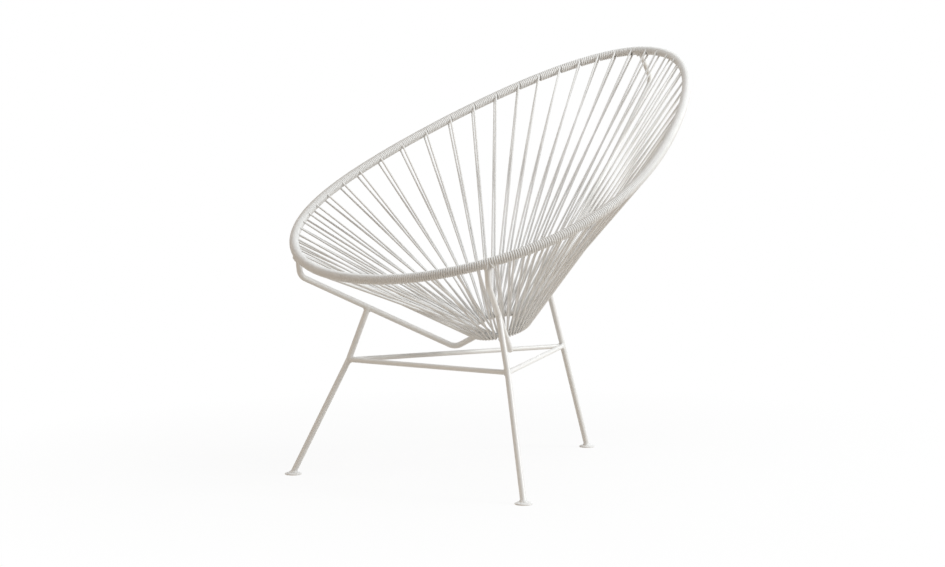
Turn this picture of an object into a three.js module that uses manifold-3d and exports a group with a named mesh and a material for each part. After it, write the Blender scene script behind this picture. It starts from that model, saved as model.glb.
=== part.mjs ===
// Acapulco lounge chair: an egg-shaped rim hoop over a small seat ring, three bent arms between
// them, three legs with stretchers and disc feet, and one long cord wound round the rim that runs
// down to the seat ring and back at every rim place.
// Millimetres, +Z up. The sitter faces -Y, so the sitter's left side is +X.
import * as THREE from 'three';
import { mergeVertices } from 'three/addons/utils/BufferGeometryUtils.js';
import Module from 'manifold-3d';

const manifold = await Module();
manifold.setup();

// Rim hoop: a flat egg-shaped loop, wide at the front, tilted up towards the back.
const hoopRod = 10.5;
const rimLongRadius = 528;
const rimWideRadius = 371;
const rimLongShares = [0.046, -0.043];
const rimWideShares = [0.1, 0.038];
const rimTilt = THREE.MathUtils.degToRad(25.4);
const rimCentreForward = -6;
const rimCentreHeight = 641;

// Seat ring: tilted the same way as the rim, but flatter.
const ringRod = 10;
const ringRadius = 61;
const ringTilt = THREE.MathUtils.degToRad(20);
const ringCentreForward = 31.5;
const ringHeight = 299.5;

// Cord, its winding on the rim and its places along the rim.
const cordDiameter = 4.5;
const cordPlaces = 58;
const placeShares = [0.1587, -0.0385, -0.0662, 0.0405];
const rimLead = 2.3;
const ribGroove = 1.1;
const ribsPerPlace = 1;
const panelCount = 12;

// Arms: bent rods from the hoop down to the underside of the seat ring. An upper bend is placed
// from the rim's centre and a lower bend from the seat ring's.
const armRod = 12;
const armBendRadius = 22;
const armStartShare = 0.25;
const frontArmRingAngle = THREE.MathUtils.degToRad(36);
const frontArmUpperBend = [230.5, -398, -232.5];
const frontArmLowerBend = [70, -58.5, -48];
const backArmUpperBend = [0, 571, 181];
const backArmLowerBend = [0, 119.5, 6];
const armEndOverhang = 4;

// Legs: each hangs from a share of its arm's long run and bends slightly where the stretchers meet it.
const legRod = 12;
const frontLegArmShare = 0.427;
const backLegArmShare = 0.877;
const frontFootPlace = [285, -355];
const backFootPlace = [0, 307];
const frontStretcherPlace = [197.5, -282];
const backStretcherPlace = [0, 208];
const stretcherHeight = 234;
const stretcherRod = 10;

// Feet: low domed discs.
const footRadius = 17;
const footEdge = 2;
const footCrown = 5;
const footCrownRadius = 9;

// The clearance left between pieces that touch or are welded together.
const jointGap = 0.3;

const rodSides = 12;
const hoopSides = 8;
const cordSides = 4;
const bendSteps = 5;
const turnSteps = 3;
const ringSegments = 40;
const footSegments = 28;
const gapSamples = 200;

const turn = 2 * Math.PI;
const vec = (x, y, z) => new THREE.Vector3(x, y, z);
const place = (point, direction, length) => point.clone().addScaledVector(direction, length);

// A path that gives exactly the points it is made of, with a fair tangent at each.
class PointPath extends THREE.Curve {
  constructor(points) {
    super();
    this.points = points;
  }

  getPoint(t, target = new THREE.Vector3()) {
    const along = t * (this.points.length - 1);
    const index = Math.min(Math.floor(along), this.points.length - 2);
    return target.lerpVectors(this.points[index], this.points[index + 1], along - index);
  }

  getPointAt(u, target) {
    return this.getPoint(u, target);
  }

  getTangentAt(u, target = new THREE.Vector3()) {
    const index = Math.round(u * (this.points.length - 1));
    const here = this.points[index];
    const before = this.points[index - 1] ?? here;
    const after = this.points[index + 1] ?? here;
    const arriving = here.clone().sub(before).normalize();
    return target.subVectors(after, here).normalize().add(arriving).normalize();
  }
}

// The points of a rod's route with each inner corner rounded to the bend radius.
function roundedRoute(corners, bendRadius) {
  const route = [corners[0]];
  for (let i = 1; i < corners.length - 1; i += 1) {
    const back = corners[i - 1].clone().sub(corners[i]).normalize();
    const ahead = corners[i + 1].clone().sub(corners[i]).normalize();
    const halfAngle = back.angleTo(ahead) / 2;
    const towards = back.clone().add(ahead).normalize();
    const middle = place(corners[i], towards, bendRadius / Math.sin(halfAngle));
    const start = place(corners[i], back, bendRadius / Math.tan(halfAngle)).sub(middle);
    const axis = back.clone().cross(ahead).normalize();
    const sweep = 2 * halfAngle - Math.PI;
    for (let step = 0; step <= bendSteps; step += 1) {
      const spoke = start.clone().applyAxisAngle(axis, sweep * step / bendSteps);
      route.push(spoke.add(middle));
    }
  }
  route.push(corners[corners.length - 1]);
  return route;
}

function circle(radius, sides) {
  const points = [];
  for (let i = 0; i < sides; i += 1) {
    const angle = turn * i / sides;
    points.push(new THREE.Vector2(radius * Math.cos(angle), radius * Math.sin(angle)));
  }
  return new THREE.Shape(points);
}

function rodGeometry(route, radius, sides = rodSides) {
  const extrudePath = new PointPath(route);
  return new THREE.ExtrudeGeometry(circle(radius, sides), { steps: route.length - 1, extrudePath });
}

function toSolid(geometry) {
  const bare = geometry.clone();
  bare.deleteAttribute('normal');
  bare.deleteAttribute('uv');
  const merged = mergeVertices(bare);
  const vertProperties = new Float32Array(merged.attributes.position.array);
  const triVerts = new Uint32Array(merged.index.array);
  return new manifold.Manifold(new manifold.Mesh({ numProp: 3, vertProperties, triVerts }));
}

function toGeometry(solid) {
  const mesh = solid.getMesh();
  const geometry = new THREE.BufferGeometry();
  geometry.setAttribute('position', new THREE.BufferAttribute(mesh.vertProperties, 3));
  geometry.setIndex(new THREE.BufferAttribute(mesh.triVerts, 1));
  geometry.computeVertexNormals();
  return geometry;
}

function cutAway(geometry, cutters) {
  let solid = toSolid(geometry);
  for (const cutter of cutters) {
    solid = solid.subtract(toSolid(cutter));
  }
  return toGeometry(solid);
}

// The rim: place 0 is at the back, half the places round is the front, and the angle runs from
// the back over the sitter's left side.
const rimAcross = vec(1, 0, 0);
const rimUpward = vec(0, Math.cos(rimTilt), Math.sin(rimTilt));
const bowlNormal = vec(0, -Math.sin(rimTilt), Math.cos(rimTilt));
const rimCentre = vec(0, -rimCentreForward, rimCentreHeight);
const ringUpward = vec(0, Math.cos(ringTilt), Math.sin(ringTilt));
const ringNormal = vec(0, -Math.sin(ringTilt), Math.cos(ringTilt));
const ringCentre = vec(0, -ringCentreForward, ringHeight);

function rimPoint(angle) {
  const front = angle + Math.PI;
  const [longSecond, longThird] = rimLongShares;
  const [wideSecond, wideThird] = rimWideShares;
  const upward = -Math.cos(front) + longSecond * Math.cos(2 * front) + longThird * Math.cos(3 * front);
  const across = Math.sin(front) + wideSecond * Math.sin(2 * front) + wideThird * Math.sin(3 * front);
  return place(place(rimCentre, rimUpward, rimLongRadius * upward), rimAcross, -rimWideRadius * across);
}

function placeAngle(index) {
  const even = turn * index / cordPlaces;
  return placeShares.reduce((sum, share, i) => sum + share * Math.sin((i + 1) * even), even);
}

const rimCorners = [];
for (let index = 0; index < cordPlaces; index += 1) {
  rimCorners.push(rimPoint(placeAngle(index)));
}
const rimCorner = (index) => rimCorners[(index + cordPlaces) % cordPlaces];

// The seat ring: angles run as on the rim, from the back over the sitter's left side.
function ringPoint(angle) {
  const back = place(ringCentre, ringUpward, ringRadius * Math.cos(angle));
  return place(back, rimAcross, ringRadius * Math.sin(angle));
}

// Closes a run of rings on itself, the last ring joined to the first.
function loftLoop(rings) {
  const sides = rings[0].length;
  const positions = rings.flat().flatMap((point) => point.toArray());
  const index = [];
  rings.forEach((ring, row) => {
    const nextRow = (row + 1) % rings.length;
    for (let side = 0; side < sides; side += 1) {
      const nextSide = (side + 1) % sides;
      const corners = [[row, side], [row, nextSide], [nextRow, nextSide], [nextRow, side]];
      const [a, b, c, d] = corners.map(([r, s]) => r * sides + s);
      index.push(a, b, c, a, c, d);
    }
  });
  const geometry = new THREE.BufferGeometry();
  geometry.setAttribute('position', new THREE.Float32BufferAttribute(positions, 3));
  geometry.setIndex(index);
  geometry.computeVertexNormals();
  return geometry;
}

// A ring of points square to the rim, at a share of the way from one rim corner to the next and
// then shifted along the rim.
function rimSection(index, share, radius, shift = 0) {
  const here = rimCorner(index);
  const next = rimCorner(index + 1);
  const previous = rimCorner(index - 1);
  const chord = next.clone().sub(here).normalize();
  const tangent = share === 0 ? here.clone().sub(previous).normalize().add(chord).normalize() : chord;
  const outward = bowlNormal.clone().cross(tangent);
  const middle = place(here.clone().lerp(next, share), tangent, shift);
  return circle(radius, hoopSides).getPoints().slice(0, hoopSides).map((spot) => {
    return place(place(middle, outward, spot.x), bowlNormal, spot.y);
  });
}

function rimHoop() {
  return loftLoop(rimCorners.map((corner, index) => rimSection(index, 0, hoopRod / 2)));
}

// The winding over a stretch of rim, drawn as ribs, with a bore that clears the hoop.
function windingSleeve(first, last) {
  const boreRadius = hoopRod / 2 + jointGap / Math.cos(Math.PI / hoopSides);
  const crest = boreRadius + cordDiameter;
  const outer = [];
  const bore = [];
  const rings = 2 * ribsPerPlace;
  for (let index = first; index < last; index += 1) {
    const shift = index === first ? jointGap / 2 : 0;
    outer.push(rimSection(index, 0, crest, shift));
    bore.push(rimSection(index, 0, boreRadius, shift));
    for (let ring = 1; ring < rings; ring += 1) {
      outer.push(rimSection(index, ring / rings, ring % 2 ? crest - ribGroove : crest));
    }
  }
  outer.push(rimSection(last, 0, crest, -jointGap / 2));
  bore.push(rimSection(last, 0, boreRadius, -jointGap / 2));
  return loftLoop([...outer, ...bore.reverse()]);
}

// The arms part the cord's turns round the seat ring into one stretch for each arm.
const armCount = 3;
const leftArmAngle = Math.PI - frontArmRingAngle;
const rightArmAngle = Math.PI + frontArmRingAngle;
const armTurnRoom = (armRod / 2 + cordDiameter / 2 + 2 * jointGap) / ringRadius;
const sideRoom = leftArmAngle - 2 * armTurnRoom;
const frontRoom = rightArmAngle - leftArmAngle - 2 * armTurnRoom;
const sideTurns = Math.round((cordPlaces - armCount) * sideRoom / (2 * sideRoom + frontRoom)) + 1;
const frontTurns = cordPlaces - 2 * sideTurns;
const turnStretches = [
  { first: 0, count: sideTurns, from: 0, to: leftArmAngle },
  { first: sideTurns, count: frontTurns, from: leftArmAngle, to: rightArmAngle },
  { first: sideTurns + frontTurns, count: sideTurns, from: rightArmAngle, to: turn },
];

function turnAngle(index) {
  const stretch = turnStretches.findLast(({ first }) => index >= first);
  const from = stretch.from + armTurnRoom;
  const to = stretch.to - armTurnRoom;
  return from + (to - from) * (index - stretch.first) / (stretch.count - 1);
}

// One pair of runs: from the inner face of the rim, over the seat ring, under it and back to the
// outer face of the rim.
function cordRoute(index) {
  const rimMiddle = rimCorner(index).clone().lerp(rimCorner(index + 1), 1 / 2);
  const rimAlong = rimCorner(index + 1).clone().sub(rimCorner(index)).normalize();
  const angle = turnAngle(index);
  const ringMiddle = ringPoint(angle);
  const ringAlong = rimAcross.clone().multiplyScalar(Math.cos(angle));
  ringAlong.addScaledVector(ringUpward, -Math.sin(angle));
  const downward = ringMiddle.clone().sub(rimMiddle).normalize();
  const rimInner = downward.clone().cross(rimAlong).normalize();
  const ringInner = downward.clone().cross(ringAlong).normalize();
  const ringDown = ringAlong.clone().cross(ringInner);
  const rimReach = hoopRod / 2 + jointGap + cordDiameter / 2;
  const halfStep = Math.PI / turnSteps / 2;
  const turnReach = (ringRod / 2 + jointGap + cordDiameter / 2) / Math.cos(halfStep);
  const turnCorners = [];
  for (let step = 0; step < turnSteps; step += 1) {
    const around = (2 * step + 1) * halfStep;
    const side = place(ringMiddle, ringInner, turnReach * Math.cos(around));
    turnCorners.push(place(side, ringDown, turnReach * Math.sin(around)));
  }
  const leaving = place(place(rimMiddle, rimInner, rimReach), rimAlong, rimLead / 2);
  const arriving = place(place(rimMiddle, rimInner, -rimReach), rimAlong, -rimLead / 2);
  return [leaving, ...turnCorners, arriving];
}

const cordRoutes = rimCorners.map((corner, index) => cordRoute(index));

// Arms, given from the rim down, and the legs and stretchers that hang from them.
const mirrored = (point) => vec(-point.x, point.y, point.z);
const upperBendPoint = (bend) => vec(...bend).add(rimCentre);
const lowerBendPoint = (bend) => vec(...bend).add(ringCentre);

function armRoute(rimEnd, upperBend, lowerBend, ringAngle) {
  const upper = upperBendPoint(upperBend);
  const lower = lowerBendPoint(lowerBend);
  const under = place(ringPoint(ringAngle), ringNormal, -(ringRod / 2 + jointGap + armRod / 2));
  const inward = under.clone().sub(lower).normalize();
  const start = place(rimEnd, upper.clone().sub(rimEnd).normalize(), hoopRod * armStartShare);
  return roundedRoute([start, upper, lower, place(under, inward, armEndOverhang)], armBendRadius);
}

// An arm stands on the rim wherever one stretch of the cord's turns ends and the next begins.
const armPlaces = { front_left: sideTurns, front_right: sideTurns + frontTurns, back: 0 };
const leftArmRoute = armRoute(
  rimCorner(armPlaces.front_left), frontArmUpperBend, frontArmLowerBend, leftArmAngle,
);
const backArmRoute = armRoute(rimCorner(armPlaces.back), backArmUpperBend, backArmLowerBend, 0);

function legRoute(upperBend, lowerBend, armShare, stretcherPlace, footPlace) {
  const top = upperBendPoint(upperBend).lerp(lowerBendPoint(lowerBend), armShare);
  return [top, vec(...stretcherPlace, stretcherHeight), vec(...footPlace, footCrown / 2)];
}

const leftLegRoute = legRoute(
  frontArmUpperBend, frontArmLowerBend, frontLegArmShare, frontStretcherPlace, frontFootPlace,
);
const backLegRoute = legRoute(
  backArmUpperBend, backArmLowerBend, backLegArmShare, backStretcherPlace, backFootPlace,
);

const armRoutes = {
  front_left: leftArmRoute,
  front_right: leftArmRoute.map(mirrored),
  back: backArmRoute,
};
const legRoutes = {
  front_left: leftLegRoute,
  front_right: leftLegRoute.map(mirrored),
  back: backLegRoute,
};

function ringGeometry(margin) {
  const ring = new THREE.TorusGeometry(ringRadius, ringRod / 2 + margin, rodSides, ringSegments);
  return ring.rotateX(ringTilt).translate(...ringCentre);
}

function footGeometry(margin) {
  const profile = [
    [0, -margin],
    [footRadius + margin, -margin],
    [footRadius + margin, footEdge + margin],
    [footCrownRadius, footCrown + margin],
    [0, footCrown + margin],
  ];
  const points = profile.map(([radius, height]) => new THREE.Vector2(radius, height));
  return new THREE.LatheGeometry(points, footSegments).rotateX(Math.PI / 2);
}

function armGeometry(position) {
  const index = armPlaces[position];
  const hoopPart = [rimCorner(index - 1), rimCorner(index), rimCorner(index + 1)];
  const rod = rodGeometry(armRoutes[position], armRod / 2);
  return cutAway(rod, [rodGeometry(hoopPart, hoopRod / 2 + jointGap), ringGeometry(jointGap)]);
}

function legGeometry(position) {
  const route = legRoutes[position];
  const foot = footGeometry(jointGap).translate(route[2].x, route[2].y, 0);
  const arm = rodGeometry(armRoutes[position], armRod / 2 + jointGap);
  return cutAway(rodGeometry(route, legRod / 2), [foot, arm]);
}

// Each stretcher is shaped to its two legs and to the stretchers that were set before it.
const stretcherEnds = {
  front: ['front_left', 'front_right'],
  left: ['front_left', 'back'],
  right: ['front_right', 'back'],
};

function stretcherRoute(position) {
  return stretcherEnds[position].map((leg) => legRoutes[leg][1]);
}

function stretcherGeometry(position, earlier) {
  const legs = stretcherEnds[position].map((leg) => rodGeometry(legRoutes[leg], legRod / 2 + jointGap));
  const others = earlier.map((other) => rodGeometry(stretcherRoute(other), stretcherRod / 2 + jointGap));
  return cutAway(rodGeometry(stretcherRoute(position), stretcherRod / 2), [...legs, ...others]);
}

// A panel of cord: the winding over its stretch of rim, joined to its runs to the seat ring.
function cordPanel(first, last) {
  let solid = toSolid(windingSleeve(first, last));
  for (const route of cordRoutes.slice(first, last)) {
    solid = solid.add(toSolid(rodGeometry(route, cordDiameter / 2, cordSides)));
  }
  for (const route of Object.values(armRoutes)) {
    solid = solid.subtract(toSolid(rodGeometry(route, armRod / 2 + jointGap)));
  }
  return toGeometry(solid);
}

const group = new THREE.Group();

function addPiece(name, geometry, look) {
  const mesh = new THREE.Mesh(geometry, new THREE.MeshStandardMaterial(look));
  mesh.name = name;
  group.add(mesh);
  return mesh;
}

const paint = { color: 0xe8e4dc, roughness: 0.45, metalness: 0 };
const plastic = { color: 0xd9d5cb, roughness: 0.4, metalness: 0 };

addPiece('rim_hoop', rimHoop(), paint);
addPiece('seat_ring', ringGeometry(0), paint);

for (const position of ['front_left', 'front_right', 'back']) {
  addPiece(`arm_${position}`, armGeometry(position), paint);
  addPiece(`leg_${position}`, legGeometry(position), paint);
  const foot = addPiece(`foot_${position}`, footGeometry(0), paint);
  foot.position.set(legRoutes[position][2].x, legRoutes[position][2].y, 0);
}

const stretcherNames = Object.keys(stretcherEnds);
stretcherNames.forEach((position, order) => {
  addPiece(`stretcher_${position}`, stretcherGeometry(position, stretcherNames.slice(0, order)), paint);
});

for (let panel = 0; panel < panelCount; panel += 1) {
  const first = Math.ceil(panel * cordPlaces / panelCount);
  const last = Math.ceil((panel + 1) * cordPlaces / panelCount);
  const name = `cord_panel_${String(panel + 1).padStart(2, '0')}`;
  addPiece(name, cordPanel(first, last), plastic);
}

// The least clear space between the two runs of a pair and between neighbouring pairs, measured
// on points.
let leastGap = Infinity;

function measureGap(route, otherRoute) {
  const spots = new PointPath(route).getPoints(gapSamples);
  const otherSpots = new PointPath(otherRoute).getPoints(gapSamples);
  for (const spot of spots) {
    for (const otherSpot of otherSpots) {
      leastGap = Math.min(leastGap, spot.distanceTo(otherSpot) - cordDiameter);
    }
  }
}

cordRoutes.forEach((route, index) => {
  measureGap(route.slice(0, 2), route.slice(-2));
  measureGap(route, cordRoutes[(index + 1) % cordPlaces]);
});
console.log(`least gap between runs of cord: ${leastGap.toFixed(2)} mm`);

// The origin lies on the floor under the middle of the chair.
const bounds = new THREE.Box3().setFromObject(group);
group.position.y = -(bounds.min.y + bounds.max.y) / 2;

export default group;
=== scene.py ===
# An acapulco lounge chair: a painted rod frame, and one long plastic cord that is wound round the
# rim and strung to the seat ring. Metres, +Z up; the sitter faces -Y and +X is the sitter's left.
import math

import bpy
import numpy as np
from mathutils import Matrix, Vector


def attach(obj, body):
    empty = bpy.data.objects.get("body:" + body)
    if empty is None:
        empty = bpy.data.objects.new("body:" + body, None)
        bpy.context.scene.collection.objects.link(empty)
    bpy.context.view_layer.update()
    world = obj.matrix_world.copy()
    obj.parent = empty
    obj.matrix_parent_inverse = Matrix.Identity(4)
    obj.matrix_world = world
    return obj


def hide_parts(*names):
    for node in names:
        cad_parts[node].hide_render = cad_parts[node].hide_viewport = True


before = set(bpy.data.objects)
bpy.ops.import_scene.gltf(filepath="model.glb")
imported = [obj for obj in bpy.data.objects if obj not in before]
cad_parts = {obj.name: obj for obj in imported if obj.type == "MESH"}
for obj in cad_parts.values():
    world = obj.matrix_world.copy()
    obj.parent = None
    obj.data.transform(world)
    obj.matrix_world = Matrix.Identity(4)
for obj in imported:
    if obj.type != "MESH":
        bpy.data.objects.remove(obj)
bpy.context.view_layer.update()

fullTurn = 2 * math.pi
frameShift = np.array((0, -0.04841, 0))  # brings the middle of the chair's box over the origin
print("packed model loaded")


# objects are put into the scene and turned towards a point in one way
def placeObject(name, data):
    thing = bpy.data.objects.new(name, data)
    bpy.context.scene.collection.objects.link(thing)
    return thing


def aimFrom(thing, position, target):
    thing.location = position
    gaze = Vector(target) - Vector(position)
    thing.rotation_euler = gaze.to_track_quat("-Z", "Y").to_euler()


# camera, at the photograph's viewing angle
cameraPlace = {
    "position": (2.291, -3.31603, 0.651),
    "target": (0, -0.17403, 0.3885),
    "lens": 73.01,
    "sensorWidth": 36,
}


def makeCamera():
    data = bpy.data.cameras.new("photo_camera")
    data.lens = cameraPlace["lens"]
    data.sensor_width = cameraPlace["sensorWidth"]
    camera = placeObject("photo_camera", data)
    aimFrom(camera, cameraPlace["position"], cameraPlace["target"])
    bpy.context.scene.camera = camera


makeCamera()
print("camera set")


# small helpers for node trees
def addNode(tree, kind, inputs=None, **settings):
    node = tree.nodes.new(kind)
    for name, value in settings.items():
        setattr(node, name, value)
    for name, value in (inputs or {}).items():
        if isinstance(value, bpy.types.NodeSocket):
            tree.links.new(value, node.inputs[name])
        else:
            node.inputs[name].default_value = value
    return node


def addSockets(tree, direction, sockets):
    for name, kind, value in sockets:
        socket = tree.interface.new_socket(name=name, in_out=direction, socket_type=kind)
        if value is not None:
            socket.default_value = value


# materials
def buildSurfaceGroup():
    # slow changes of tone, a fine grain and its roughness, shared by the paint and the plastic
    tree = bpy.data.node_groups.new("Fine surface", "ShaderNodeTree")
    addSockets(tree, "INPUT", [
        ("Vector", "NodeSocketVector", None),
        ("Colour", "NodeSocketColor", None),
        ("Tone Change", "NodeSocketFloat", 0.05),
        ("Tone Scale", "NodeSocketFloat", 14.0),
        ("Grain Scale", "NodeSocketFloat", 900.0),
        ("Roughness", "NodeSocketFloat", 0.4),
        ("Roughness Change", "NodeSocketFloat", 0.08),
    ])
    addSockets(tree, "OUTPUT", [
        ("Colour", "NodeSocketColor", None),
        ("Roughness", "NodeSocketFloat", None),
        ("Height", "NodeSocketFloat", None),
    ])
    given = addNode(tree, "NodeGroupInput").outputs
    result = addNode(tree, "NodeGroupOutput")
    slow = addNode(tree, "ShaderNodeTexNoise", {
        "Vector": given["Vector"], "Scale": given["Tone Scale"], "Detail": 3.0,
    })
    grain = addNode(tree, "ShaderNodeTexNoise", {
        "Vector": given["Vector"], "Scale": given["Grain Scale"], "Detail": 2.0,
    })
    centred = addNode(tree, "ShaderNodeMath", {0: slow.outputs["Fac"], 1: 0.5}, operation="SUBTRACT")
    tone = addNode(tree, "ShaderNodeMath", {
        0: centred.outputs[0], 1: given["Tone Change"], 2: 1.0,
    }, operation="MULTIPLY_ADD")
    colour = addNode(tree, "ShaderNodeVectorMath", {
        0: given["Colour"], "Scale": tone.outputs[0],
    }, operation="SCALE")
    roughness = addNode(tree, "ShaderNodeMath", {
        0: centred.outputs[0], 1: given["Roughness Change"], 2: given["Roughness"],
    }, operation="MULTIPLY_ADD")
    tree.links.new(colour.outputs[0], result.inputs["Colour"])
    tree.links.new(roughness.outputs[0], result.inputs["Roughness"])
    tree.links.new(grain.outputs["Fac"], result.inputs["Height"])
    return tree


surfaceGroup = buildSurfaceGroup()


def startMaterial(name):
    material = bpy.data.materials.new(name)
    material.use_nodes = True
    tree = material.node_tree
    return material, tree, tree.nodes["Principled BSDF"]


def placeSurface(tree, vector, values):
    surface = addNode(tree, "ShaderNodeGroup", node_tree=surfaceGroup)
    tree.links.new(vector, surface.inputs["Vector"])
    for name, value in values.items():
        surface.inputs[name].default_value = value
    return surface


paintLook = {
    "colour": (0.84, 0.84, 0.832, 1),
    "toneChange": 0.05,
    "toneScale": 18.0,
    "peelScale": 420.0,
    "peelDepth": 0.00003,
    "peelStrength": 0.3,
    "roughness": 0.36,
    "roughnessChange": 0.1,
    "refraction": 1.5,
}


def makePaint():
    # satin powder coat: white, with a fine orange peel
    material, tree, shader = startMaterial("powder_coat")
    place = addNode(tree, "ShaderNodeTexCoord")
    surface = placeSurface(tree, place.outputs["Object"], {
        "Colour": paintLook["colour"],
        "Tone Change": paintLook["toneChange"],
        "Tone Scale": paintLook["toneScale"],
        "Grain Scale": paintLook["peelScale"],
        "Roughness": paintLook["roughness"],
        "Roughness Change": paintLook["roughnessChange"],
    })
    bump = addNode(tree, "ShaderNodeBump", {
        "Height": surface.outputs["Height"],
        "Strength": paintLook["peelStrength"],
        "Distance": paintLook["peelDepth"],
    })
    tree.links.new(surface.outputs["Colour"], shader.inputs["Base Color"])
    tree.links.new(surface.outputs["Roughness"], shader.inputs["Roughness"])
    tree.links.new(bump.outputs["Normal"], shader.inputs["Normal"])
    shader.inputs["IOR"].default_value = paintLook["refraction"]
    return material


cordLook = {
    "colour": (0.79, 0.785, 0.774, 1),
    "toneChange": 0.09,
    "toneScale": 22.0,
    "grainScale": 500.0,
    "grainShare": 0.3,
    "streakScale": 3.0,
    "alongScale": 6.0,
    "streakDepth": 0.00003,
    "streakStrength": 0.3,
    "roughness": 0.42,
    "roughnessChange": 0.12,
    "refraction": 1.52,
}


def makeCordPlastic():
    # soft extruded plastic: faint streaks that run along the cord
    material, tree, shader = startMaterial("cord_plastic")
    place = addNode(tree, "ShaderNodeTexCoord")
    surface = placeSurface(tree, place.outputs["Object"], {
        "Colour": cordLook["colour"],
        "Tone Change": cordLook["toneChange"],
        "Tone Scale": cordLook["toneScale"],
        "Grain Scale": cordLook["grainScale"],
        "Roughness": cordLook["roughness"],
        "Roughness Change": cordLook["roughnessChange"],
    })
    around = addNode(tree, "ShaderNodeAttribute", attribute_name="aroundCord")
    along = addNode(tree, "ShaderNodeAttribute", attribute_name="alongCord")
    stretched = addNode(tree, "ShaderNodeMath", {
        0: along.outputs["Fac"], 1: cordLook["alongScale"],
    }, operation="MULTIPLY")
    lengthwise = addNode(tree, "ShaderNodeCombineXYZ", {"Z": stretched.outputs[0]})
    streakPlace = addNode(tree, "ShaderNodeVectorMath", {
        0: around.outputs["Vector"], 1: lengthwise.outputs[0],
    }, operation="ADD")
    streaks = addNode(tree, "ShaderNodeTexNoise", {
        "Vector": streakPlace.outputs[0], "Scale": cordLook["streakScale"], "Detail": 2.0,
    })
    height = addNode(tree, "ShaderNodeMath", {
        0: surface.outputs["Height"], 1: cordLook["grainShare"], 2: streaks.outputs["Fac"],
    }, operation="MULTIPLY_ADD")
    bump = addNode(tree, "ShaderNodeBump", {
        "Height": height.outputs[0],
        "Strength": cordLook["streakStrength"],
        "Distance": cordLook["streakDepth"],
    })
    tree.links.new(surface.outputs["Colour"], shader.inputs["Base Color"])
    tree.links.new(surface.outputs["Roughness"], shader.inputs["Roughness"])
    tree.links.new(bump.outputs["Normal"], shader.inputs["Normal"])
    shader.inputs["IOR"].default_value = cordLook["refraction"]
    return material


powderCoat = makePaint()
cordPlastic = makeCordPlastic()
print("materials made")


# round rods and cords: a tree that sweeps a circle along paths
def buildSweepTree():
    tree = bpy.data.node_groups.new("Sweep along path", "GeometryNodeTree")
    addSockets(tree, "INPUT", [
        ("Path", "NodeSocketGeometry", None),
        ("Radius", "NodeSocketFloat", 0.006),
        ("Sides", "NodeSocketInt", 24),
        ("Wander", "NodeSocketFloat", 0.0),
        ("Wander Scale", "NodeSocketFloat", 7.0),
        ("Seed", "NodeSocketInt", 1),
        ("Finish", "NodeSocketMaterial", None),
    ])
    addSockets(tree, "OUTPUT", [("Rod", "NodeSocketGeometry", None)])
    given = addNode(tree, "NodeGroupInput").outputs
    result = addNode(tree, "NodeGroupOutput")
    curve = addNode(tree, "GeometryNodeMeshToCurve", {"Mesh": given["Path"]})
    noise = addNode(tree, "ShaderNodeTexNoise", {
        "Scale": given["Wander Scale"], "W": given["Seed"], "Detail": 1.0,
    }, noise_dimensions="4D")
    centred = addNode(tree, "ShaderNodeVectorMath", {
        0: noise.outputs["Color"], 1: (0.5, 0.5, 0.5),
    }, operation="SUBTRACT")
    offset = addNode(tree, "ShaderNodeVectorMath", {
        0: centred.outputs[0], "Scale": given["Wander"],
    }, operation="SCALE")
    moved = addNode(tree, "GeometryNodeSetPosition", {
        "Geometry": curve.outputs[0], "Offset": offset.outputs[0],
    })
    spline = addNode(tree, "GeometryNodeSplineParameter")
    measured = addNode(tree, "GeometryNodeStoreNamedAttribute", {
        "Geometry": moved.outputs[0], "Name": "alongCord", "Value": spline.outputs["Length"],
    }, data_type="FLOAT", domain="POINT")
    circle = addNode(tree, "GeometryNodeCurvePrimitiveCircle", {
        "Resolution": given["Sides"], "Radius": 1.0,
    })
    spot = addNode(tree, "GeometryNodeInputPosition")
    marked = addNode(tree, "GeometryNodeStoreNamedAttribute", {
        "Geometry": circle.outputs[0], "Name": "aroundCord",
    }, data_type="FLOAT_VECTOR", domain="POINT")
    tree.links.new(spot.outputs[0], marked.inputs["Value"])
    width = addNode(tree, "GeometryNodeInputNamedAttribute", {"Name": "width"}, data_type="FLOAT")
    scaled = addNode(tree, "ShaderNodeMath", {
        0: width.outputs["Attribute"], 1: given["Radius"],
    }, operation="MULTIPLY")
    swept = addNode(tree, "GeometryNodeCurveToMesh", {
        "Curve": measured.outputs[0], "Profile Curve": marked.outputs[0],
        "Scale": scaled.outputs[0], "Fill Caps": True,
    })
    smooth = addNode(tree, "GeometryNodeSetShadeSmooth", {"Geometry": swept.outputs[0]})
    whole = addNode(tree, "GeometryNodeRealizeInstances", {"Geometry": smooth.outputs[0]})
    finished = addNode(tree, "GeometryNodeSetMaterial", {
        "Geometry": whole.outputs[0], "Material": given["Finish"],
    })
    tree.links.new(finished.outputs[0], result.inputs["Rod"])
    return tree


sweepTree = buildSweepTree()


def setTreeInput(modifier, name, value):
    for item in modifier.node_group.interface.items_tree:
        if item.item_type == "SOCKET" and item.in_out == "INPUT" and item.name == name:
            modifier[item.identifier] = value


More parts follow.
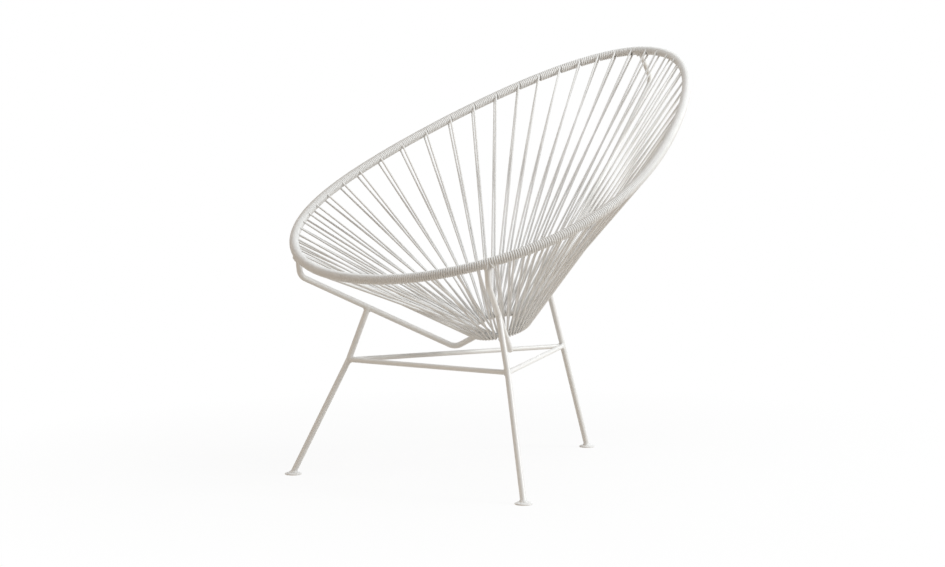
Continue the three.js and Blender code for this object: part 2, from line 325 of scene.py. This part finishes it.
def sweepPaths(name, paths, radius, finish, sides=24, wander=0.0, seed=1):
    # paths are (points, widths, closed); widths are shares of the radius
    spots, widths, edges = [], [], []
    for points, shares, closed in paths:
        first = len(spots)
        spots.extend(np.asarray(points).tolist())
        widths.extend(np.broadcast_to(shares, len(points)).tolist())
        edges.extend((first + i, first + i + 1) for i in range(len(points) - 1))
        if closed:
            edges.append((len(spots) - 1, first))
    pathMesh = bpy.data.meshes.new(name + "_path")
    pathMesh.from_pydata(spots, edges, [])
    pathMesh.attributes.new("width", "FLOAT", "POINT").data.foreach_set("value", widths)
    pathObject = placeObject(name + "_path", pathMesh)
    modifier = pathObject.modifiers.new("sweep", "NODES")
    modifier.node_group = sweepTree
    inputs = {"Radius": radius, "Sides": sides, "Wander": wander, "Seed": seed, "Finish": finish}
    for socketName, value in inputs.items():
        setTreeInput(modifier, socketName, value)
    evaluated = pathObject.evaluated_get(bpy.context.evaluated_depsgraph_get())
    mesh = bpy.data.meshes.new_from_object(evaluated)
    mesh.name = name
    piece = placeObject(name, mesh)
    bpy.data.objects.remove(pathObject)
    bpy.data.meshes.remove(pathMesh)
    return piece


def dressPiece(piece, slot, *nodes):
    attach(piece, "root")
    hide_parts(*nodes)


# paths
def unit(vector):
    vector = np.asarray(vector, float)
    return vector / np.linalg.norm(vector)


def roundedPath(corners, bendRadius, steps=16):
    corners = [np.asarray(corner, float) for corner in corners]
    points = [corners[0]]
    for before, here, after in zip(corners, corners[1:], corners[2:]):
        back = unit(before - here)
        ahead = unit(after - here)
        half = math.acos(np.clip(back @ ahead, -1, 1)) / 2
        middle = here + unit(back + ahead) * bendRadius / math.sin(half)
        spoke = here + back * bendRadius / math.tan(half) - middle
        axis = unit(np.cross(back, ahead))
        side = np.cross(axis, spoke)
        sweep = 2 * half - math.pi
        for step in range(steps + 1):
            angle = sweep * step / steps
            points.append(middle + spoke * math.cos(angle) + side * math.sin(angle))
    points.append(corners[-1])
    return np.array(points)


def easedEnd(points, radius, easing=0.3, steps=5):
    # a rod's path and widths, with the edge of its last end face rounded over
    angles = np.linspace(math.pi / 2, 0, steps + 1)
    depth = easing * radius * (1 - np.cos(angles))
    share = 1 - easing + easing * np.sin(angles)
    inward = unit(points[-2] - points[-1])
    path = np.vstack((points[:-1], points[-1] + np.outer(depth, inward)))
    widths = np.concatenate((np.ones(len(points) - 1), share))
    return path, widths, False


def squareAxes(direction):
    direction = unit(direction)
    helper = np.array((0, 0, 1.0)) if abs(direction[2]) < 0.9 else np.array((1.0, 0, 0))
    first = unit(np.cross(direction, helper))
    return first, np.cross(direction, first)


weld = {
    "radius": 0.0024,
    "sideShare": 0.3,
    "steps": 56,
    "ripple": 0.06,
    "ripples": 19,
    "inset": 0.96,
    "seamRadius": 0.002,
    "seamSteps": 14,
    "seamRipple": 0.08,
    "seamRipples": 40,
    "seamTip": 0.02,
}


def weldRound(base, direction, rodRadius, carrierAxis, carrierRadius):
    # the bead where a rod of the direction meets a rod that it stands on
    direction, carrierAxis = unit(direction), unit(carrierAxis)
    first, second = squareAxes(direction)
    points, lying = [], []
    for step in range(weld["steps"]):
        angle = fullTurn * step / weld["steps"]
        spoke = (first * math.cos(angle) + second * math.sin(angle)) * rodRadius * weld["inset"]
        spokeAcross = spoke - carrierAxis * (spoke @ carrierAxis)
        runAcross = direction - carrierAxis * (direction @ carrierAxis)
        a = runAcross @ runAcross
        b = 2 * spokeAcross @ runAcross
        c = spokeAcross @ spokeAcross - carrierRadius ** 2
        height = (-b + math.sqrt(max(b * b - 4 * a * c, 0))) / (2 * a)
        points.append(base + spoke + direction * height)
        lying.append((unit(spoke) @ carrierAxis) ** 2)
    turned = np.arange(weld["steps"]) * fullTurn * weld["ripples"] / weld["steps"]
    ripple = 1 + weld["ripple"] * np.sin(turned)
    swell = weld["sideShare"] + (1 - weld["sideShare"]) * np.array(lying)
    return np.array(points), weld["radius"] / rodRadius * ripple * swell, True


def weldSeam(start, end, rodRadius):
    # a short straight bead with tapered ends; its widths are shares of the rod's radius
    share = np.linspace(0, 1, weld["seamSteps"] + 1)
    points = np.outer(1 - share, start) + np.outer(share, end)
    taper = np.sqrt(np.clip(1 - (2 * share - 1) ** 4, weld["seamTip"], 1))
    ripple = 1 + weld["seamRipple"] * np.sin(share * weld["seamRipples"])
    return points, weld["seamRadius"] / rodRadius * taper * ripple, False


# the rim line: place 0 is at the back, and angles run from there over the sitter's left
rim = {
    "longRadius": 0.528,
    "wideRadius": 0.371,
    "longShares": (0.046, -0.043),
    "wideShares": (0.1, 0.038),
    "tilt": math.radians(25.4),
    "centre": (0, 0.006, 0.641),
    "rodRadius": 0.00525,
    "angleStep": 1e-4,
    "tableSteps": 14400,
    "hoopSteps": 480,
    "hoopSides": 16,
}
rimAcross = np.array((1.0, 0, 0))
rimUpward = np.array((0, math.cos(rim["tilt"]), math.sin(rim["tilt"])))
bowlNormal = np.array((0, -math.sin(rim["tilt"]), math.cos(rim["tilt"])))


def rimPoint(angle):
    front = np.asarray(angle, float) + math.pi
    longSecond, longThird = rim["longShares"]
    wideSecond, wideThird = rim["wideShares"]
    upward = -np.cos(front) + longSecond * np.cos(2 * front) + longThird * np.cos(3 * front)
    across = np.sin(front) + wideSecond * np.sin(2 * front) + wideThird * np.sin(3 * front)
    centre = np.array(rim["centre"]) + frameShift
    lengthwise = np.outer(rim["longRadius"] * upward, rimUpward)
    return centre + lengthwise - np.outer(rim["wideRadius"] * across, rimAcross)


tableAngles = np.linspace(0, fullTurn, rim["tableSteps"] + 1)
tableSteps = np.linalg.norm(np.diff(rimPoint(tableAngles), axis=0), axis=1)
tableArcs = np.concatenate(([0], np.cumsum(tableSteps)))
rimLength = tableArcs[-1]


def rimFrames(arcs):
    # points on the rim line, the way along it and the way out of the bowl, for arc lengths
    angles = np.interp(np.mod(arcs, rimLength), tableArcs, tableAngles)
    ahead = rimPoint(angles + rim["angleStep"]) - rimPoint(angles - rim["angleStep"])
    along = ahead / np.linalg.norm(ahead, axis=1)[:, None]
    outward = np.cross(bowlNormal, along)
    return rimPoint(angles), along, outward


# the seat ring and the places of the cord
seatRing = {
    "radius": 0.061,
    "rodRadius": 0.005,
    "tilt": math.radians(20),
    "centre": (0, -0.0315, 0.2995),
    "frontArmAngle": math.radians(36),
    "steps": 96,
}
ringUpward = np.array((0, math.cos(seatRing["tilt"]), math.sin(seatRing["tilt"])))
ringNormal = np.array((0, -math.sin(seatRing["tilt"]), math.cos(seatRing["tilt"])))

cord = {
    "radius": 0.00223,
    "slack": 0.00006,
    "stretched": 0.93,
    "pitch": 0.00452,
    "stepsPerTurn": 26,
    "sides": 10,
    "places": 58,
    "placeShares": (0.1587, -0.0385, -0.0662, 0.0405),
    "ringLead": 0.0058,
    "sideTurns": 24,
    "frontTurns": 10,
    "armRoom": 0.00885,
    "touchRounds": 5,
    "hairpinSpots": 14,
    "crossShares": (0.15, 0.85),
    "crossMarks": (-0.012, -0.006, 0, 0.006, 0.012),
    "endMarks": (0, 0.0015, 0.004, 0.008, 0.016, 0.03, 0.05),
    "endLength": 0.07,
    "markSpacing": 0.035,
    "gap": 0.00008,
    "softRounds": 4,
    "softReach": 3,
    "pitchChange": 0.00005,
    "wander": 0.0008,
    "panels": 12,
    "seed": 11,
}
armPlaces = {"back": 0, "front_left": 24, "front_right": 34}


def placeAngle(index):
    even = fullTurn * index / cord["places"]
    return even + sum(share * math.sin((i + 1) * even) for i, share in enumerate(cord["placeShares"]))


def placeArc(index):
    return float(np.interp(placeAngle(index), tableAngles, tableArcs))


def ringTurnAngle(index):
    left = math.pi - seatRing["frontArmAngle"]
    right = math.pi + seatRing["frontArmAngle"]
    side, front = cord["sideTurns"], cord["frontTurns"]
    room = cord["armRoom"] / seatRing["radius"]
    if index < side:
        first, count, start, end = 0, side, 0, left
    elif index < side + front:
        first, count, start, end = side, front, left, right
    else:
        first, count, start, end = side + front, side, right, fullTurn
    return start + room + (end - start - 2 * room) * (index - first) / (count - 1)


def ringPoint(angle):
    centre = np.array(seatRing["centre"]) + frameShift
    return centre + seatRing["radius"] * (ringUpward * math.cos(angle) + rimAcross * math.sin(angle))


# arms, legs and stretchers: their routes
rods = {
    "armRadius": 0.006,
    "legRadius": 0.006,
    "stretcherRadius": 0.005,
    "bendRadius": 0.022,
    "legBendRadius": 0.03,
    "armStart": 0.0026,
    "armRingGap": 0.0001,
    "footStart": 0.0035,
    "stretcherInset": 0.004,
    "seamBack": 0.0045,
    "seamAhead": 0.004,
    "seamApart": 0.0036,
    "seamSunk": 0.0003,
    "frontArmUpper": (0.2305, -0.392, 0.4085),
    "frontArmLower": (0.07, -0.09, 0.2515),
    "backArmUpper": (0, 0.577, 0.822),
    "backArmLower": (0, 0.088, 0.3055),
    "armOverhang": 0.004,
    "frontLegShare": 0.427,
    "backLegShare": 0.877,
    "frontFoot": (0.285, -0.355),
    "backFoot": (0, 0.307),
    "frontJoint": (0.1975, -0.282),
    "backJoint": (0, 0.208),
    "stretcherHeight": 0.234,
}
positions = ("front_left", "front_right", "back")
mirror = np.array((-1.0, 1, 1))


def armCorners(position):
    if position == "front_right":
        return [corner * mirror for corner in armCorners("front_left")]
    front = position == "front_left"
    angle = math.pi - seatRing["frontArmAngle"] if front else 0
    upper = np.array(rods["frontArmUpper" if front else "backArmUpper"]) + frameShift
    lower = np.array(rods["frontArmLower" if front else "backArmLower"]) + frameShift
    rimEnd = rimPoint([placeAngle(armPlaces[position])])[0]
    reach = seatRing["rodRadius"] + rods["armRadius"] + rods["armRingGap"]
    under = ringPoint(angle) - ringNormal * reach
    start = rimEnd + unit(upper - rimEnd) * rods["armStart"]
    return [start, upper, lower, under + unit(under - lower) * rods["armOverhang"]]


def legCorners(position):
    if position == "front_right":
        return [corner * mirror for corner in legCorners("front_left")]
    front = position == "front_left"
    _, upper, lower, _ = armCorners(position)
    share = rods["frontLegShare" if front else "backLegShare"]
    joint = rods["frontJoint" if front else "backJoint"]
    foot = rods["frontFoot" if front else "backFoot"]
    top = upper * (1 - share) + lower * share
    return [
        top,
        np.array((*joint, rods["stretcherHeight"])) + frameShift,
        np.array((*foot, rods["footStart"])) + frameShift,
    ]


def makeArm(position):
    corners = armCorners(position)
    path = easedEnd(roundedPath(corners, rods["bendRadius"]), rods["armRadius"])
    _, _, lower, end = corners
    along = unit(end - lower)
    contact = end - along * rods["armOverhang"]
    side = unit(np.cross(along, ringNormal))
    seams = []
    for way in (-1, 1):
        raised = ringNormal * (rods["armRadius"] - rods["seamSunk"])
        edge = contact + raised + side * way * rods["seamApart"]
        start, finish = edge - along * rods["seamBack"], edge + along * rods["seamAhead"]
        seams.append(weldSeam(start, finish, rods["armRadius"]))
    piece = sweepPaths(f"arm_{position}_rod", [path, *seams], rods["armRadius"], powderCoat)
    dressPiece(piece, "frame_paint", f"arm_{position}")


def makeLeg(position):
    corners = legCorners(position)
    top, joint, _ = corners
    _, upper, lower, _ = armCorners(position)
    path = (roundedPath(corners, rods["legBendRadius"]), 1.0, False)
    bead = weldRound(top, joint - top, rods["legRadius"], lower - upper, rods["armRadius"])
    piece = sweepPaths(f"leg_{position}_rod", [path, bead], rods["legRadius"], powderCoat)
    dressPiece(piece, "frame_paint", f"leg_{position}")


stretcherEnds = {
    "front": ("front_left", "front_right"),
    "left": ("front_left", "back"),
    "right": ("front_right", "back"),
}


def makeStretcher(position):
    ends = [legCorners(leg)[1] for leg in stretcherEnds[position]]
    towards = unit(ends[1] - ends[0])
    inset = towards * rods["stretcherInset"]
    path = np.array([ends[0] + inset, (ends[0] + ends[1]) / 2, ends[1] - inset])
    beads = []
    for leg, end, way in zip(stretcherEnds[position], ends, (towards, -towards)):
        corners = legCorners(leg)
        axis = unit(corners[1] - corners[0]) + unit(corners[2] - corners[1])
        beads.append(weldRound(end, way, rods["stretcherRadius"], axis, rods["legRadius"]))
    piece = sweepPaths(
        f"stretcher_{position}_rod", [(path, 1.0, False), *beads], rods["stretcherRadius"], powderCoat,
    )
    dressPiece(piece, "frame_paint", f"stretcher_{position}")


# feet: low domed discs with a weld neck
foot = {
    "profile": (
        (0.0154, 0.0), (0.0165, 0.0002), (0.0170, 0.0009), (0.0170, 0.0017), (0.0166, 0.0024),
        (0.0155, 0.0030), (0.0135, 0.0037), (0.0110, 0.0043), (0.0085, 0.0048), (0.0060, 0.0050),
    ),
    "segments": 64,
    "neckRadius": 0.0021,
    "neckLift": 0.0004,
    "neckSteps": 48,
    "neckSides": 16,
    "neckRipple": 0.08,
    "neckRipples": 17,
}


def makeFoot(position):
    _, _, end = legCorners(position)
    centre = np.array((end[0], end[1], 0))
    vertices, faces = [], []
    rows = foot["profile"]
    count = foot["segments"]
    for radius, height in rows:
        for step in range(count):
            angle = fullTurn * step / count
            vertices.append(centre + (radius * math.cos(angle), radius * math.sin(angle), height))
    for row in range(len(rows) - 1):
        for step in range(count):
            after = (step + 1) % count
            faces.append((row * count + step, row * count + after,
                          (row + 1) * count + after, (row + 1) * count + step))
    faces.append(tuple(range(count - 1, -1, -1)))
    faces.append(tuple(range((len(rows) - 1) * count, len(rows) * count)))
    mesh = bpy.data.meshes.new(f"foot_{position}_disc")
    mesh.from_pydata([tuple(v) for v in vertices], [], faces)
    mesh.polygons.foreach_set("use_smooth", [True] * (len(faces) - 2) + [False, True])
    mesh.materials.append(powderCoat)
    disc = placeObject(f"foot_{position}_disc", mesh)
    dressPiece(disc, "frame_paint", f"foot_{position}")


def makeFootWeld(position):
    # the neck bead follows the slanted leg's outline on top of the disc
    _, joint, end = legCorners(position)
    direction = unit(joint - end)
    first, second = squareAxes(direction)
    level = foot["profile"][-1][1] + foot["neckLift"]
    angles = np.arange(foot["neckSteps"]) * fullTurn / foot["neckSteps"]
    points = []
    for angle in angles:
        start = end + (first * math.cos(angle) + second * math.sin(angle)) * rods["legRadius"]
        points.append(start + direction * (level - start[2]) / direction[2])
    ripple = 1 + foot["neckRipple"] * np.sin(angles * foot["neckRipples"])
    neck = sweepPaths(
        f"foot_{position}_weld", [(points, ripple, True)], foot["neckRadius"], powderCoat,
        sides=foot["neckSides"],
    )
    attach(neck, "root")


def makeRings():
    arcs = np.linspace(0, rimLength, rim["hoopSteps"], endpoint=False)
    line = (rimFrames(arcs)[0], 1.0, True)
    hoop = sweepPaths("rim_hoop_rod", [line], rim["rodRadius"], powderCoat, sides=rim["hoopSides"])
    dressPiece(hoop, "frame_paint", "rim_hoop")
    angles = np.linspace(0, fullTurn, seatRing["steps"], endpoint=False)
    circle = [ringPoint(angle) for angle in angles]
    ring = sweepPaths("seat_ring_rod", [(circle, 1.0, True)], seatRing["rodRadius"], powderCoat)
    dressPiece(ring, "frame_paint", "seat_ring")


makeRings()
for position in positions:
    makeArm(position)
    makeLeg(position)
    makeFoot(position)
    makeFootWeld(position)
for position in stretcherEnds:
    makeStretcher(position)
print("frame rods, welds and feet made")

# the cord
rimReach = rim["rodRadius"] + cord["slack"] + cord["radius"]
ringReach = seatRing["rodRadius"] + cord["slack"] + cord["radius"]
armRoot = {
    "turns": (0, 0.0023, 0.0068, 0.034),  # how far from the arm the turns would lie
    "opened": (0.0085, 0.0085, 0.0102, 0.034),  # how far from it they lie where they pass it
    "lifted": (0.0036, 0.0036, 0.0, 0.0),  # how far they rise there
    "openStart": math.radians(95),
    "openSpan": math.radians(90),
    "liftStart": math.radians(85),
    "liftSpan": math.radians(45),
}


def makeArmRoots():
    roots = []
    for position, index in armPlaces.items():
        arc = placeArc(index)
        point, _, outward = rimFrames([arc])
        corners = armCorners(position)
        heading = unit(corners[1] - corners[0])
        roots.append((arc, math.atan2(heading @ bowlNormal, heading @ outward[0])))
    return roots


armRoots = makeArmRoots()


def smoothStep(value):
    value = np.clip(value, 0, 1)
    return value * value * (3 - 2 * value)


def windingPoints(arcs, phases):
    # turns round the hoop; near an arm they open round its root and lie on each other there
    arcs = np.array(arcs, float)
    phases = np.asarray(phases, float)
    reach = np.full(len(arcs), rimReach)
    shifted = arcs.copy()
    for rootArc, rootPhase in armRoots:
        beside = np.mod(arcs - rootArc + rimLength / 2, rimLength) - rimLength / 2
        turned = np.abs(np.mod(phases - rootPhase + math.pi, fullTurn) - math.pi)
        opening = smoothStep((armRoot["openStart"] - turned) / armRoot["openSpan"])
        lifting = smoothStep((armRoot["liftStart"] - turned) / armRoot["liftSpan"])
        distance = np.abs(beside)
        target = np.interp(distance, armRoot["turns"], armRoot["opened"])
        lift = np.interp(distance, armRoot["turns"], armRoot["lifted"])
        near = distance < armRoot["turns"][-1]
        way = np.where(beside < 0, -1, 1)
        shifted = np.where(near, shifted + opening * way * (target - distance), shifted)
        reach = np.where(near, reach + lifting * lift, reach)
    point, _, outward = rimFrames(shifted)
    spoke = outward * np.cos(phases)[:, None] + bowlNormal * np.sin(phases)[:, None]
    return point + spoke * reach[:, None]


def touchAngle(across, up, radius, side):
    # where the line from a far point touches a circle round the origin
    return math.atan2(up, across) + side * math.acos(radius / math.hypot(across, up))


def runPair(index, arcs):
    # the runs of one place, which leave and reach the rim at the two arcs
    middle = sum(arcs) / 2
    angle = ringTurnAngle(index)
    ringMiddle = ringPoint(angle)
    ringAlong = rimAcross * math.cos(angle) - ringUpward * math.sin(angle)
    rimMiddle = rimFrames([middle])[0][0]
    downward = unit(ringMiddle - rimMiddle)
    ringInner = unit(np.cross(downward, ringAlong))
    ringDown = np.cross(ringAlong, ringInner)

    def ringSpot(turned, lead):
        spoke = ringInner * math.cos(turned) + ringDown * math.sin(turned)
        return ringMiddle + ringAlong * lead + spoke * ringReach

    ends = []
    halfLead = cord["ringLead"] / 2
    for arc, lead, side in zip(arcs, (halfLead, -halfLead), (-1, 1)):
        point, _, outward = (rows[0] for rows in rimFrames([arc]))
        ringTurned = math.pi if side < 0 else 0
        for _ in range(cord["touchRounds"]):
            away = ringSpot(ringTurned, lead) - point
            phase = touchAngle(away @ outward, away @ bowlNormal, rimReach, side) % fullTurn
            rimSpot = point + (outward * math.cos(phase) + bowlNormal * math.sin(phase)) * rimReach
            away = rimSpot - ringMiddle
            ringTurned = touchAngle(away @ ringInner, away @ ringDown, ringReach, side)
            ringTurned = ringTurned % fullTurn if side < 0 else ringTurned
        if side > 0 and ringTurned > math.pi:
            ringTurned -= fullTurn
        spot = ringSpot(ringTurned, lead)
        ends.append({"phase": phase, "rim": rimSpot, "ring": spot, "turned": ringTurned})
    leaving, arriving = ends
    runs = crossRuns(leaving["rim"], leaving["ring"], arriving["rim"], arriving["ring"])
    share = np.linspace(0, 1, cord["hairpinSpots"])
    turned = leaving["turned"] + (arriving["turned"] - leaving["turned"]) * share
    hairpin = [ringSpot(t, cord["ringLead"] * (0.5 - s)) for t, s in zip(turned, smoothStep(share))]
    points = np.vstack((runs[0][1:-1], hairpin, runs[1][::-1][1:-1]))
    return leaving, arriving, points


def crossRuns(rimA, ringA, rimB, ringB):
    # two straight runs that cross, pushed apart where they would touch
    lengthA, lengthB = np.linalg.norm(ringA - rimA), np.linalg.norm(ringB - rimB)
    wayA, wayB = (ringA - rimA) / lengthA, (ringB - rimB) / lengthB
    between = rimA - rimB
    mixed = wayA @ wayB
    shareA = ((mixed * (wayB @ between) - wayA @ between) / (1 - mixed ** 2)) / lengthA
    shareA = np.clip(shareA, *cord["crossShares"])
    contactA = rimA + wayA * lengthA * shareA
    shareB = ((contactA - rimB) @ wayB) / lengthB
    contactB = rimB + wayB * lengthB * shareB
    apart = contactA - contactB
    gap = np.linalg.norm(apart)
    push = max(0, 2 * cord["radius"] + cord["gap"] - gap) / 2
    apart = apart / gap
    runs = []
    for start, way, length, contact, side in (
        (rimA, wayA, lengthA, shareA, 1), (rimB, wayB, lengthB, shareB, -1),
    ):
        near = np.array(cord["endMarks"])
        count = max(4, int(length / cord["markSpacing"]))
        even = np.linspace(cord["endLength"], length - cord["endLength"], count)
        around = contact * length + np.array(cord["crossMarks"])
        marks = np.unique(np.concatenate((near, length - near, even, around)))
        tent = np.minimum(marks / (contact * length), (length - marks) / (length - contact * length))
        points = start + np.outer(marks, way) + np.outer(tent * push * side, apart)
        runs.append(points)
    return runs


def windStretch(start, end, indices):
    # one even winding between two arms: start and end are (arc, phase), the arc falls while the
    # phase grows, and each place's runs take the half turn under the rim that is nearest to it
    span = start[0] - end[0]
    part = ((end[1] - start[1]) % fullTurn) / fullTurn
    pitch = span / (round(span / cord["pitch"] - part) + part)

    def arcAt(phase):
        return start[0] - pitch * (phase - start[1]) / fullTurn

    last = start[1] + fullTurn * span / pitch
    here = start[1]
    parts = []
    for index in indices:
        middle = (placeArc(index) + placeArc(index + 1)) / 2
        leaving, arriving, _ = runPair(index, (middle + pitch / 4, middle - pitch / 4))
        under = (leaving["phase"] + arriving["phase"]) / 2
        turns = round((start[1] + fullTurn * (start[0] - middle) / pitch - under) / fullTurn)
        phases = [fullTurn * turns + knot["phase"] for knot in (leaving, arriving)]
        leaving, arriving, run = runPair(index, [arcAt(phase) for phase in phases])
        parts.append((here, fullTurn * turns + leaving["phase"], run, leaving["rim"]))
        here = fullTurn * turns + arriving["phase"]
    parts.append((here, last, None, None))
    return parts, arcAt


def makeCordPath():
    # the whole cord as one loop of points, from the back over the sitter's right to the front
    random = np.random.default_rng(cord["seed"])
    roots = dict(zip(armPlaces.values(), armRoots))
    spots, arcMarks, phaseMarks, softMarks = [], [], [], []

    def append(points, arcs, phases):
        spots.append(points)
        arcMarks.append(arcs)
        phaseMarks.append(phases)

    def rootKnot(index):
        arc = rimLength if index == cord["places"] else placeArc(index)
        return arc, (roots[index % cord["places"]][1] + math.pi) % fullTurn

    borders = sorted((*roots, cord["places"]), reverse=True)
    for first, last in zip(borders, borders[1:]):
        parts, arcAt = windStretch(rootKnot(first), rootKnot(last), range(first - 1, last - 1, -1))
        for start, end, run, leavingPoint in parts:
            count = max(4, round((end - start) / fullTurn * cord["stepsPerTurn"]))
            phases = np.linspace(start, end, count + 1)[:-1]
            knots = max(3, int((end - start) / math.pi) + 1)
            uneven = random.normal(0, cord["pitchChange"], knots)
            uneven[0] = uneven[-1] = 0
            arcs = arcAt(phases) + np.interp(phases, np.linspace(start, end, knots), uneven)
            append(windingPoints(arcs, phases), arcs, phases)
            if run is None:
                continue
            softMarks.append(sum(len(rows) for rows in spots))
            lost = np.full(len(run) + 1, np.nan)
            append(np.vstack((leavingPoint[None], run)), lost, lost)
            softMarks.append(sum(len(rows) for rows in spots))
    points = np.vstack(spots)
    for _ in range(cord["softRounds"]):
        softened = points.copy()
        for mark in softMarks:
            for i in range(mark - cord["softReach"], mark + cord["softReach"] + 1):
                softened[i] = (points[i - 1] + 2 * points[i] + points[i + 1]) / 4
        points = softened
    return points, np.concatenate(arcMarks), np.concatenate(phaseMarks)


def cutMarks(arcs, phases):
    # where one panel's cord ends and the next begins: under the rim, near each panel's border
    low = np.mod(phases - 1.5 * math.pi, fullTurn)
    under = np.where((low[:-1] > math.pi) & (low[1:] < math.pi))[0] + 1
    marks = []
    for panel in range(cord["panels"] + 1):
        border = math.ceil(panel * cord["places"] / cord["panels"])
        arc = 0 if border == 0 else rimLength if border == cord["places"] else placeArc(border)
        marks.append(int(under[np.argmin(np.abs(arcs[under] - arc))]))
    marks[-1] = marks[0]  # the loop closes on itself
    return marks


def makeCordPanels():
    points, arcs, phases = makeCordPath()
    marks = cutMarks(arcs, phases)
    count = len(points)
    widths = np.where(np.isnan(arcs), cord["stretched"], 1.0)
    for panel in range(cord["panels"]):
        start, end = marks[panel + 1], marks[panel]
        if end <= start:
            end += count
        rows = np.arange(start, end + 1) % count
        path = points[rows].copy()
        path[0] += unit(path[1] - path[0]) * cord["gap"]
        path[-1] += unit(path[-2] - path[-1]) * cord["gap"]
        name = f"cord_panel_{panel + 1:02d}"
        piece = sweepPaths(
            f"{name}_cord", [(path, widths[rows], False)], cord["radius"], cordPlastic,
            sides=cord["sides"], wander=cord["wander"], seed=cord["seed"],
        )
        dressPiece(piece, "cord_plastic", name)
    length = np.linalg.norm(np.diff(points, axis=0), axis=1).sum()
    print(f"cord wound and strung: {length:.1f} m in {cord['panels']} panels")


makeCordPanels()

# floor, backdrop and light
studio = {
    "floorSize": 40.0,
    "floorColour": (0.67, 0.605, 0.53, 1),
    "floorSeen": (0.95, 0.95, 0.95, 1),
    "floorRoughness": 0.9,
    "floorSheen": 0.1,
    "floorWhite": 0.9,
    "shadowStart": 0.5,
    "shadowReach": 1.3,
    "roomColour": (0.262, 0.246, 0.234, 1),
    "roomStrength": 1.0,
}


def seenDirectly(tree):
    path = addNode(tree, "ShaderNodeLightPath")
    first = addNode(tree, "ShaderNodeMath", {
        0: path.outputs["Is Camera Ray"], 1: path.outputs["Is Glossy Ray"],
    }, operation="MAXIMUM")
    return addNode(tree, "ShaderNodeMath", {
        0: first.outputs[0], 1: path.outputs["Is Transmission Ray"],
    }, operation="MAXIMUM").outputs[0]


def makeFloor():
    half = studio["floorSize"] / 2
    corners = [(-half, -half, 0), (half, -half, 0), (half, half, 0), (-half, half, 0)]
    mesh = bpy.data.meshes.new("floor")
    mesh.from_pydata(corners, [], [(0, 1, 2, 3)])
    floor = placeObject("floor", mesh)
    material, tree, shader = startMaterial("studio_floor")
    seen = seenDirectly(tree)
    colour = addNode(tree, "ShaderNodeMix", {"Factor": seen}, data_type="RGBA")
    colour.inputs[6].default_value = studio["floorColour"]
    colour.inputs[7].default_value = studio["floorSeen"]
    tree.links.new(colour.outputs[2], shader.inputs["Base Color"])
    shader.inputs["Roughness"].default_value = studio["floorRoughness"]
    shader.inputs["Specular IOR Level"].default_value = studio["floorSheen"]
    glow = addNode(tree, "ShaderNodeEmission", {"Color": (1, 1, 1, 1), "Strength": 1.0})
    place = addNode(tree, "ShaderNodeTexCoord")
    away = addNode(tree, "ShaderNodeVectorMath", {0: place.outputs["Object"]}, operation="LENGTH")
    fade = addNode(tree, "ShaderNodeMapRange", {
        "Value": away.outputs["Value"],
        "From Min": studio["shadowStart"],
        "From Max": studio["shadowReach"],
        "To Min": studio["floorWhite"],
        "To Max": 1.0,
    })
    share = addNode(tree, "ShaderNodeMath", {0: fade.outputs[0], 1: seen}, operation="MULTIPLY")
    mix = addNode(tree, "ShaderNodeMixShader", {
        0: share.outputs[0], 1: shader.outputs[0], 2: glow.outputs[0],
    })
    tree.links.new(mix.outputs[0], tree.nodes["Material Output"].inputs["Surface"])
    # its glow is for what looks at it, so no light is drawn from it
    material.cycles.emission_sampling = "NONE"
    mesh.materials.append(material)


def makeRoom():
    world = bpy.data.worlds.new("studio_room")
    bpy.context.scene.world = world
    world.use_nodes = True
    tree = world.node_tree
    tree.nodes.clear()
    room = addNode(tree, "ShaderNodeBackground", {
        "Color": studio["roomColour"], "Strength": studio["roomStrength"],
    })
    backdrop = addNode(tree, "ShaderNodeBackground", {"Color": (1, 1, 1, 1), "Strength": 1.0})
    mix = addNode(tree, "ShaderNodeMixShader", {
        0: seenDirectly(tree), 1: room.outputs[0], 2: backdrop.outputs[0],
    })
    output = addNode(tree, "ShaderNodeOutputWorld")
    tree.links.new(mix.outputs[0], output.inputs["Surface"])


lamps = {
    "key": {"place": (3.35, 1.35, 2.2), "size": 1.6, "power": 117, "colour": (0.95, 0.985, 1.0)},
    "top": {"place": (0.6, -0.4, 3.4), "size": 2.4, "power": 38, "colour": (0.93, 0.975, 1.0)},
    "fill": {"place": (-1.5, -3.6, 1.2), "size": 2.4, "power": 18, "colour": (1.0, 0.76, 0.5)},
}
lampTarget = (0, -0.05, 0.45)


def makeLamps():
    for name, values in lamps.items():
        data = bpy.data.lights.new(name, "AREA")
        data.shape = "SQUARE"
        data.size = values["size"]
        data.energy = values["power"]
        data.color = values["colour"]
        aimFrom(placeObject(name, data), values["place"], lampTarget)


makeFloor()
makeRoom()
makeLamps()
bpy.context.scene.view_settings.view_transform = "Standard"
print("studio set")
